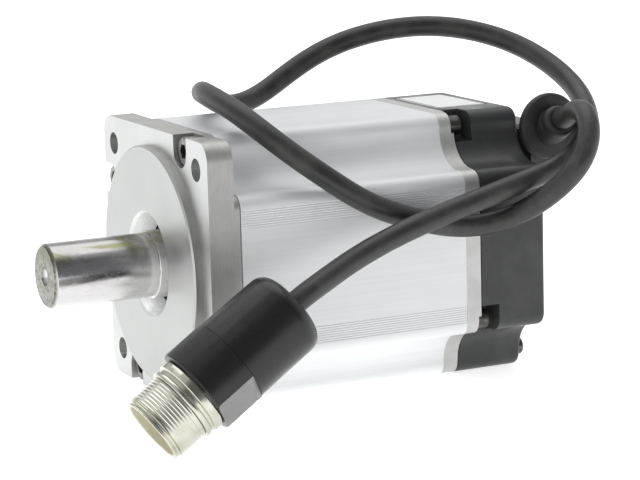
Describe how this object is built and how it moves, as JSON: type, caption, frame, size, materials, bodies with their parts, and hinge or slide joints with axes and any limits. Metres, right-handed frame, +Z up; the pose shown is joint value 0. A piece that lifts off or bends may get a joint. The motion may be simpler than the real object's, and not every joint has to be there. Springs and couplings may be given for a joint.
{
  "type": "servo motor",
  "caption": "Square-flanged AC servo motor with a plain round shaft, finely grooved frame, black encoder cover and a free cable that ends in a threaded round connector.",
  "frame": {"origin": "centre of the bottom of the motor body box, under the middle of its length", "axes": "+Y along the shaft from its tip to the rear cover, +Z up, +X the side where the cable lies"},
  "size_m": [0.1185, 0.175, 0.1031],
  "materials": {
    "machined_aluminium": "satin machined",
    "cast_aluminium": "fine blasted",
    "black_plastic": "fine texture moulded",
    "screw_steel": "dark oxide",
    "shaft_steel": "ground, with an oil film",
    "bearing_steel": "ground",
    "cage_brass": "satin",
    "seal_rubber": "matt",
    "core_steel": "laminated",
    "magnet": "satin",
    "copper_winding": "enamelled wire",
    "label": "satin printed film",
    "board_green": "solder resist",
    "encoder_glass": "polished",
    "cable_jacket": "satin jacket",
    "nickel": "nickel plated",
    "insert_plastic": "matt",
    "contact_gold": "polished"
  },
  "bodies": {
    "stator": {"board_screw_1": "screw_steel", "board_screw_2": "screw_steel", "board_screw_3": "screw_steel", "cable": "cable_jacket", "cable_gland": "black_plastic", "cable_outlet_box": "black_plastic", "connector_back_nut": "black_plastic", "connector_grip": "black_plastic", "connector_insert": "insert_plastic", "connector_shell": "nickel", "contact_pin_1": "contact_gold", "contact_pin_2": "contact_gold", "contact_pin_3": "contact_gold", "contact_pin_4": "contact_gold", "contact_pin_5": "contact_gold", "contact_pin_6": "contact_gold", "contact_pin_7": "contact_gold", "cover_gasket": "seal_rubber", "cover_screw_1": "screw_steel", "cover_screw_2": "screw_steel", "cover_screw_3": "screw_steel", "cover_screw_4": "screw_steel", "encoder_board": "board_green", "encoder_read_head": "black_plastic", "flange_screw_1": "screw_steel", "flange_screw_2": "screw_steel", "flange_screw_3": "screw_steel", "flange_screw_4": "screw_steel", "front_bearing_outer_race": "bearing_steel", "front_flange": "machined_aluminium", "name_label": "label", "oil_seal": "seal_rubber", "rear_bearing_outer_race": "bearing_steel", "rear_bracket": "cast_aluminium", "rear_bracket_screw_1": "screw_steel", "rear_bracket_screw_2": "screw_steel", "rear_bracket_screw_3": "screw_steel", "rear_bracket_screw_4": "screw_steel", "rear_cover": "black_plastic", "stator_core": "core_steel", "stator_frame": "machined_aluminium", "stator_winding": "copper_winding", "strain_relief_boot": "seal_rubber", "wave_spring": "bearing_steel"},
    "rotor": {"rotor_shaft": "shaft_steel", "rotor_core": "core_steel", "magnet_ring": "magnet", "front_bearing_inner_race": "bearing_steel", "rear_bearing_inner_race": "bearing_steel", "encoder_hub": "machined_aluminium", "encoder_disc": "encoder_glass"},
    "front_cage": {"front_bearing_cage": "cage_brass"},
    "rear_cage": {"rear_bearing_cage": "cage_brass"}
  },
  "joints": [
    {"name": "rotor_spin", "type": "hinge", "parent": "stator", "child": "rotor", "pos_m": [0, 0, 0.04], "axis": [0, 1, 0], "continuous": true},
    {"name": "front_cage_spin", "type": "hinge", "parent": "stator", "child": "front_cage", "pos_m": [0, 0, 0.04], "axis": [0, 1, 0], "continuous": true},
    {"name": "rear_cage_spin", "type": "hinge", "parent": "stator", "child": "rear_cage", "pos_m": [0, 0, 0.04], "axis": [0, 1, 0], "continuous": true}
  ],
  "couplings": [
    {"joint": "front_cage_spin", "follows": "rotor_spin", "ratio": 0.4194},
    {"joint": "rear_cage_spin", "follows": "rotor_spin", "ratio": 0.4191}
  ]
}
